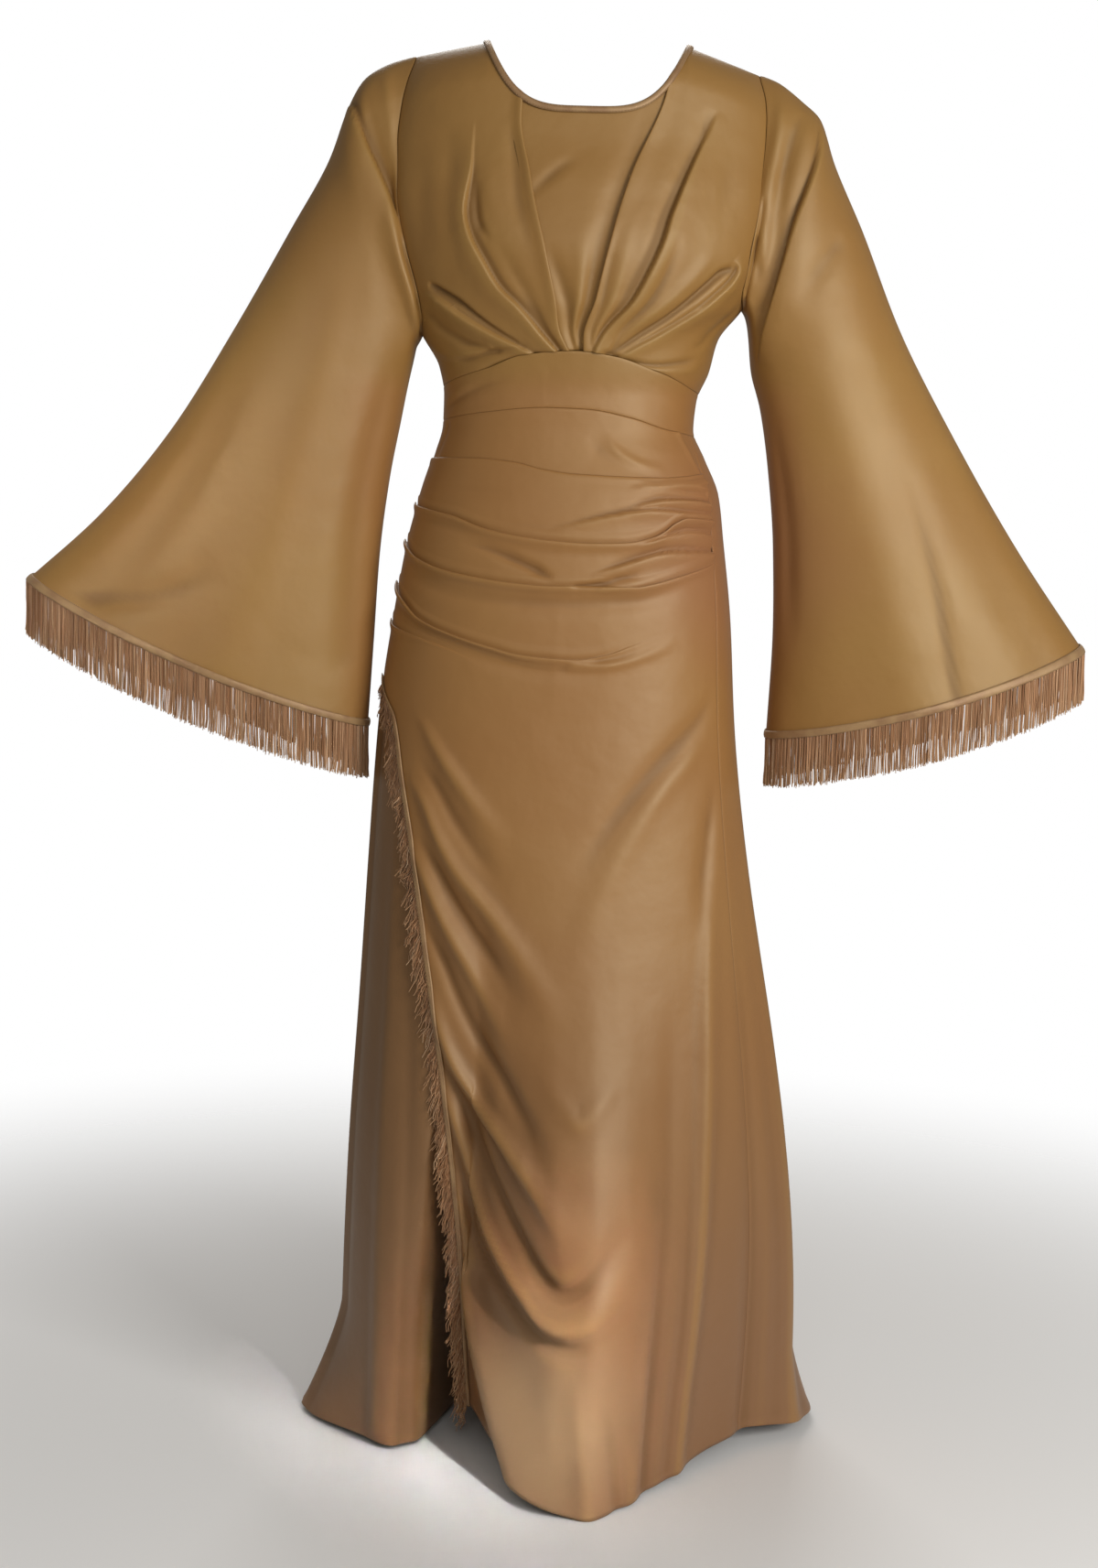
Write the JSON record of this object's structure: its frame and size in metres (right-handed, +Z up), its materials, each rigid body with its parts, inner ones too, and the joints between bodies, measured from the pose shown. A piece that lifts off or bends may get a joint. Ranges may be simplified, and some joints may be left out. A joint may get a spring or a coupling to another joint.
{
  "type": "maxi dress",
  "caption": "Floor-length satin dress in its worn, hollow form: scoop neck, V insert, curved waistband, fringed bell sleeves, and a ruched wrap skirt with a fringed slit.",
  "frame": {"origin": "midway between the two neck points of the shoulder line, where the shoulders hold the dress", "axes": "+Z up, -Y to the front of the dress, +X to the right as seen from the front"},
  "size_m": [1.159, 0.5155, 1.527],
  "materials": {
    "satin": "golden brown satin with a soft sheen",
    "under_layer": "the same satin, in the shade of the slit",
    "trim": "narrow satin binding and fringe heading, stitched",
    "fringe": "fine loose strands, matt to silky"
  },
  "bodies": {
    "root": {"bodice_back": "satin", "bodice_front_centre": "satin", "bodice_front_left": "satin", "bodice_front_right": "satin", "waistband_front": "satin", "waistband_back": "satin", "skirt_yoke_front": "satin", "skirt_front_drape": "satin", "skirt_back": "satin", "sleeve_left": "satin", "sleeve_right": "satin", "skirt_under_front": "under_layer", "neck_binding": "trim", "slit_band": "trim", "cuff_band_left": "trim", "cuff_band_right": "trim", "slit_fringe": "fringe", "cuff_fringe_left": "fringe", "cuff_fringe_right": "fringe"}
  },
  "joints": []
}
